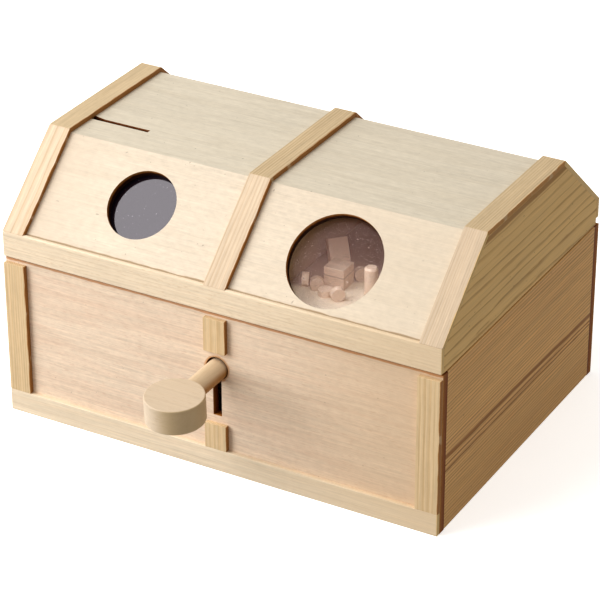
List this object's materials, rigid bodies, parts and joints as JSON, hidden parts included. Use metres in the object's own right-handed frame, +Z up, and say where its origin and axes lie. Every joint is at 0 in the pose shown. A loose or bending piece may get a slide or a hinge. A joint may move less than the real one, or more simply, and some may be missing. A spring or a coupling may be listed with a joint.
{
  "type": "wooden treasure chest coin bank",
  "caption": "Small wooden treasure chest coin bank with a hinged bevelled lid, coin slot, two round windows, toy treasures behind one, and a turning wooden key.",
  "frame": {"origin": "centre of the chest's base, on the surface it stands on", "axes": "+X to the right along the lid, +Y to the hinge side at the back, +Z up"},
  "size_m": [0.2, 0.1928, 0.1168],
  "materials": {
    "hinge_brass": "satin",
    "inner_hardwood": "bare, sanded",
    "key_wood": "bare, finely sanded",
    "laser_cut_plywood": "bare, finely sanded, edges browned by the laser",
    "pine_board": "bare, finely sanded, straight grain",
    "screw_brass": "satin",
    "smoked_acrylic": "clear smoked sheet, glossy",
    "strip_wood": "bare, finely sanded",
    "treasure_wood": "bare, sanded"
  },
  "bodies": {
    "chest_body": {"back_panel": "laser_cut_plywood", "bottom_panel": "laser_cut_plywood", "front_panel": "laser_cut_plywood", "hinge_leaf_body_left": "hinge_brass", "hinge_leaf_body_right": "hinge_brass", "hinge_pin_left": "hinge_brass", "hinge_pin_right": "hinge_brass", "hinge_screws_body": "screw_brass", "lock_bearing_block": "inner_hardwood", "lock_stop_peg": "inner_hardwood", "side_board_left": "pine_board", "side_board_right": "pine_board", "trim_bottom": "strip_wood", "trim_centre_lower": "strip_wood", "trim_centre_upper": "strip_wood", "trim_left": "strip_wood", "trim_right": "strip_wood"},
    "lid": {"hinge_leaf_lid_left": "hinge_brass", "hinge_leaf_lid_right": "hinge_brass", "hinge_screws_lid": "screw_brass", "keeper_pin": "inner_hardwood", "lid_divider": "laser_cut_plywood", "lid_gable_left": "pine_board", "lid_gable_right": "pine_board", "lid_rail_back": "strip_wood", "lid_rail_front": "strip_wood", "lid_slope_back": "laser_cut_plywood", "lid_slope_front": "laser_cut_plywood", "lid_top_panel": "laser_cut_plywood", "lock_keeper": "inner_hardwood", "strap_back_left": "strip_wood", "strap_back_middle": "strip_wood", "strap_back_right": "strip_wood", "strap_front_left": "strip_wood", "strap_front_middle": "strip_wood", "strap_front_right": "strip_wood", "strap_top_left": "strip_wood", "strap_top_middle": "strip_wood", "strap_top_right": "strip_wood", "treasure_cube": "treasure_wood", "treasure_disc_far": "treasure_wood", "treasure_disc_flat": "treasure_wood", "treasure_disc_front": "treasure_wood", "treasure_disc_left": "treasure_wood", "treasure_disc_rear": "treasure_wood", "treasure_dowel": "treasure_wood", "treasure_shelf": "laser_cut_plywood", "treasure_tile": "treasure_wood", "window_pane_left": "smoked_acrylic", "window_pane_right": "smoked_acrylic"},
    "key": {"key_bit": "key_wood", "key_bow": "key_wood", "key_shaft": "key_wood"},
    "latch": {"latch_collar": "inner_hardwood", "latch_drive_pegs": "inner_hardwood", "latch_hub": "inner_hardwood", "latch_plate": "laser_cut_plywood"}
  },
  "joints": [
    {"name": "lid_hinge", "type": "hinge", "parent": "chest_body", "child": "lid", "pos_m": [0, 0.0754, 0.072], "axis": [-1, 0, 0], "range_deg": [0, 95]},
    {"name": "latch_turn", "type": "hinge", "parent": "chest_body", "child": "latch", "pos_m": [0, -0.0465, 0.04625], "axis": [0, -1, 0], "range_deg": [0, 90]},
    {"name": "key_turn", "type": "hinge", "parent": "chest_body", "child": "key", "pos_m": [0, -0.0695, 0.04625], "axis": [0, -1, 0], "range_deg": [0, 90]}
  ],
  "couplings": [
    {"joint": "latch_turn", "follows": "key_turn", "ratio": 1}
  ]
}
